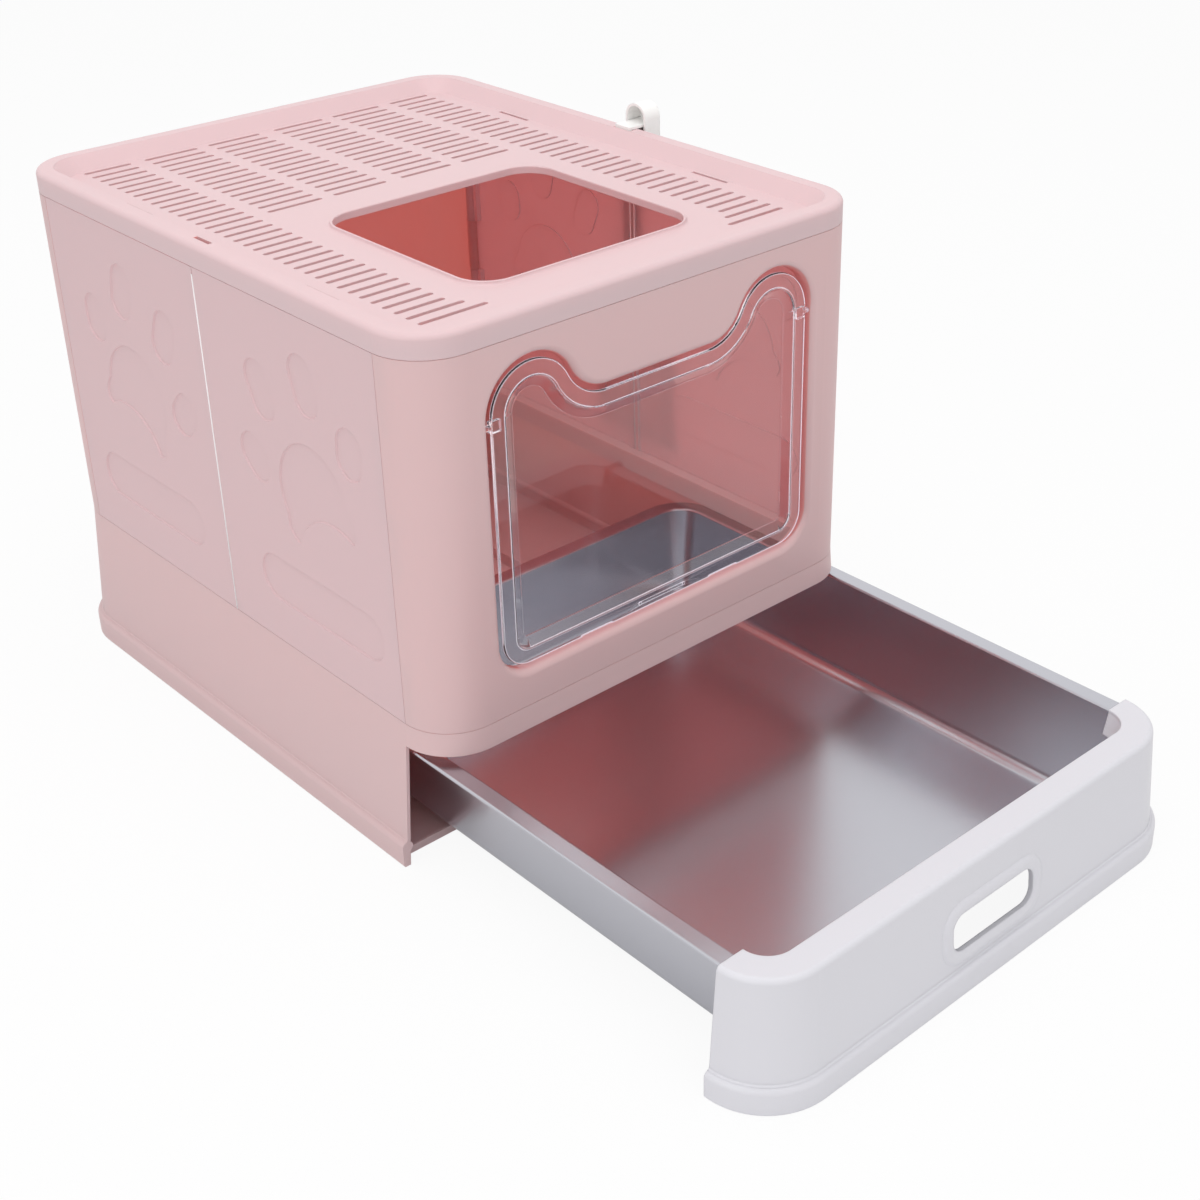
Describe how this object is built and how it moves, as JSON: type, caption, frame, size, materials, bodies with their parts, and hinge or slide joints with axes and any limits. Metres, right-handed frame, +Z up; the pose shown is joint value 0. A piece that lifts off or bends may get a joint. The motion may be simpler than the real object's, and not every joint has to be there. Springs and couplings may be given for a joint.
{
  "type": "drawer litter box",
  "caption": "Lidded cat litter box with folding side wings, a swinging flap in a cat-head window, a pull-out drawer with a steel tray, and a scoop on the rim.",
  "frame": {"origin": "centre of the housing's flat underside, at floor level", "axes": "+Z up, -Y towards the front with the window and the drawer, +Y towards the rear, +X towards the side that holds the scoop"},
  "size_m": [0.4299, 0.8218, 0.4165],
  "materials": {
    "pink_plastic": "satin moulded",
    "clear_plastic": "clear, glossy",
    "stainless_steel": "satin",
    "pin_steel": "drawn wire",
    "white_plastic": "satin moulded",
    "scoop_plastic": "satin moulded"
  },
  "bodies": {
    "housing": {"base_casing": "pink_plastic", "front_panel": "pink_plastic", "rear_panel": "pink_plastic", "left_front_pin": "pin_steel", "left_rear_pin": "pin_steel", "right_front_pin": "pin_steel", "right_rear_pin": "pin_steel"},
    "drawer": {"litter_tray": "stainless_steel", "drawer_front": "white_plastic"},
    "door": {"door_flap": "clear_plastic"},
    "lid_body": {"lid": "pink_plastic"},
    "scoop_body": {"scoop": "scoop_plastic"},
    "left_front": {"left_front_wing": "pink_plastic"},
    "left_rear": {"left_rear_wing": "pink_plastic"},
    "right_front": {"right_front_wing": "pink_plastic"},
    "right_rear": {"right_rear_wing": "pink_plastic"}
  },
  "joints": [
    {"name": "drawer_slide", "type": "slide", "parent": "housing", "child": "drawer", "axis": [0, -1, 0], "range_m": [-0.299, 0.2]},
    {"name": "door_swing", "type": "hinge", "parent": "housing", "child": "door", "pos_m": [0, -0.245, 0.326], "axis": [-1, 0, 0], "range_deg": [-75, 75]},
    {"name": "lid_lift", "type": "slide", "parent": "housing", "child": "lid_body", "axis": [0, 0, 1], "range_m": [0, 0.12]},
    {"name": "scoop_lift", "type": "slide", "parent": "lid_body", "child": "scoop_body", "axis": [0, 0, 1], "range_m": [0, 0.1]},
    {"name": "left_front_fold", "type": "hinge", "parent": "housing", "child": "left_front", "pos_m": [-0.193, -0.21, 0.25], "axis": [0, 0, -1], "range_deg": [0, 90]},
    {"name": "left_rear_fold", "type": "hinge", "parent": "housing", "child": "left_rear", "pos_m": [-0.193, 0.21, 0.25], "axis": [0, 0, 1], "range_deg": [0, 90]},
    {"name": "right_front_fold", "type": "hinge", "parent": "housing", "child": "right_front", "pos_m": [0.193, -0.21, 0.25], "axis": [0, 0, 1], "range_deg": [0, 86]},
    {"name": "right_rear_fold", "type": "hinge", "parent": "housing", "child": "right_rear", "pos_m": [0.193, 0.21, 0.25], "axis": [0, 0, -1], "range_deg": [0, 86]}
  ]
}
